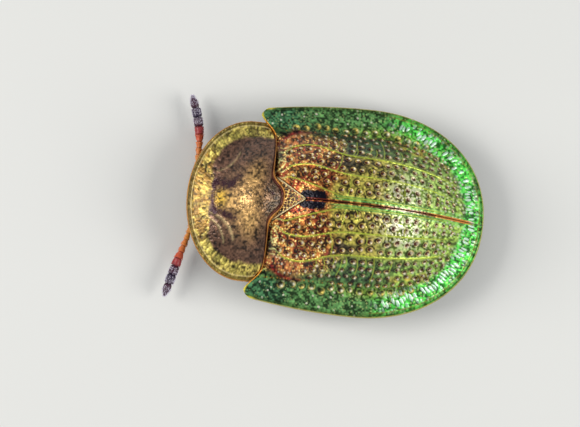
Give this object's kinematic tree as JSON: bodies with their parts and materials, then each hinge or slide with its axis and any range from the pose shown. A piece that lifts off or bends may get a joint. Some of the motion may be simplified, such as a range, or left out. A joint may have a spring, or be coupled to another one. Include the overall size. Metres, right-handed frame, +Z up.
{
  "type": "tortoise beetle",
  "caption": "Tortoise beetle standing still, with broad brims round ridged and pitted wing cases, a wide neck shield over the head, and spread feelers.",
  "frame": {"origin": "on the floor, at the middle of the box round the whole animal", "axes": "-Y the way the head points, +X to the animal's left, +Z up"},
  "size_m": [0.0056, 0.0086, 0.0032],
  "materials": {
    "wing_case": "glossy metallic green and gold cuticle, red-brown at the base, with a translucent green brim",
    "shield": "glossy bronze and gold cuticle with dark purple-brown marks",
    "scutellum": "glossy red-brown cuticle with gold edges",
    "belly": "dark brown cuticle, a little shiny",
    "head": "brown cuticle, finely grained",
    "eye": "black, glossy and faceted",
    "feeler": "orange-brown, turning violet-black over the outer joints, with short pale hairs",
    "leg": "yellow-brown cuticle with short hairs"
  },
  "bodies": {
    "root": {"pronotum": "shield", "scutellum": "scutellum", "elytron_left": "wing_case", "elytron_right": "wing_case", "prothorax": "belly", "thorax": "belly", "abdomen": "belly", "head": "head", "eye_left": "eye", "eye_right": "eye", "antenna_left": "feeler", "antenna_right": "feeler", "leg_front_left": "leg", "leg_front_right": "leg", "leg_middle_left": "leg", "leg_middle_right": "leg", "leg_hind_left": "leg", "leg_hind_right": "leg"}
  },
  "joints": []
}
